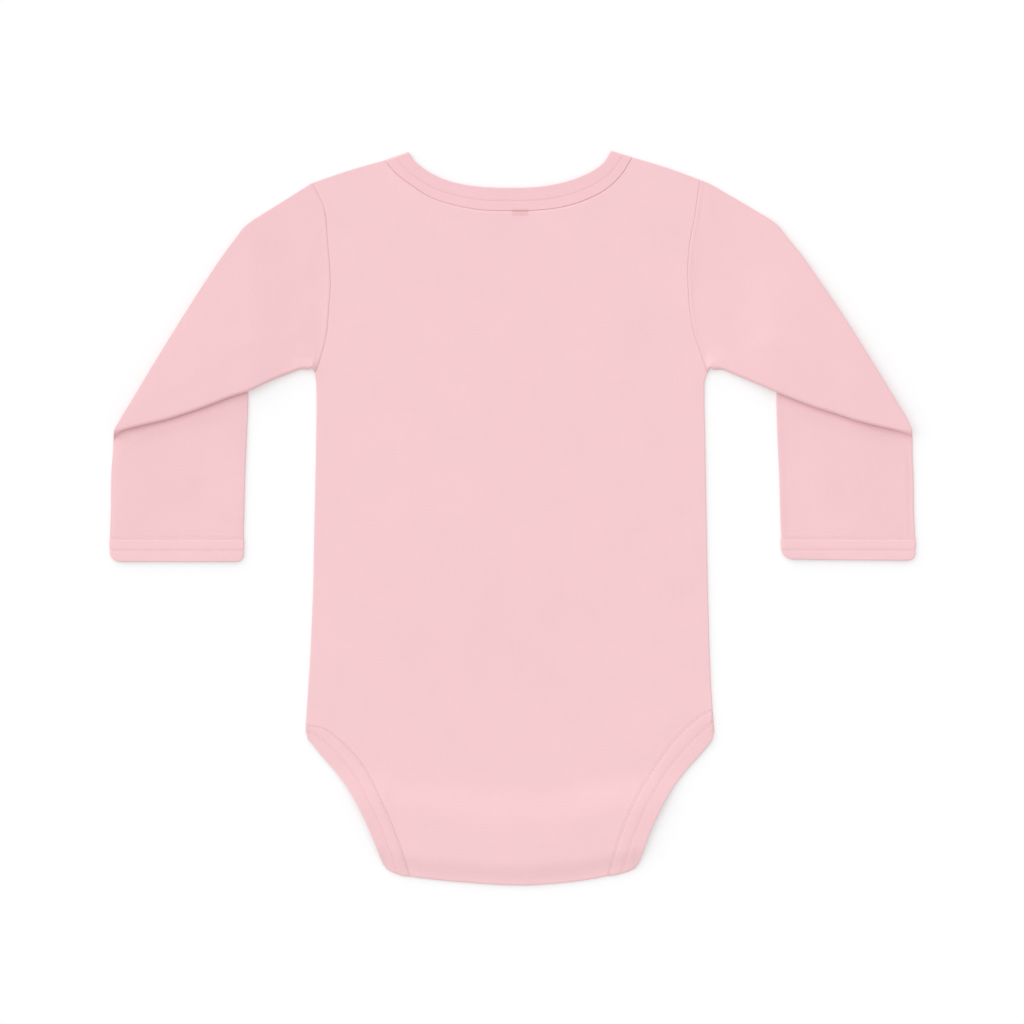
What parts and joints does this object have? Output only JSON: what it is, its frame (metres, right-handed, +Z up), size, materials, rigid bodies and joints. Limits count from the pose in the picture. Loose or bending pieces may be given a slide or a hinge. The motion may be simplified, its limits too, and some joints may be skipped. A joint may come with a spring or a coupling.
{
  "type": "baby bodysuit",
  "caption": "Long-sleeved baby bodysuit in plain cotton jersey, laid flat on its front, with bands at the neck, wrists and leg openings and a snapped crotch.",
  "frame": {"origin": "on the table, under the middle of the garment's outline", "axes": "+Z up from the table, +Y from the crotch to the neck, +X to the right of someone who looks down at the back"},
  "size_m": [0.4432, 0.4038, 0.0081],
  "materials": {
    "pink_jersey": "matt cotton jersey",
    "pink_rib": "matt cotton rib",
    "snap_metal": "satin enamel on metal"
  },
  "bodies": {
    "root": {"back_panel": "pink_jersey", "front_panel": "pink_jersey", "sleeve_left": "pink_jersey", "sleeve_right": "pink_jersey", "neck_rib": "pink_rib", "leg_band_left": "pink_rib", "leg_band_right": "pink_rib", "cuff_band_left": "pink_rib", "cuff_band_right": "pink_rib", "snap_1": "snap_metal", "snap_2": "snap_metal", "snap_3": "snap_metal"}
  },
  "joints": []
}
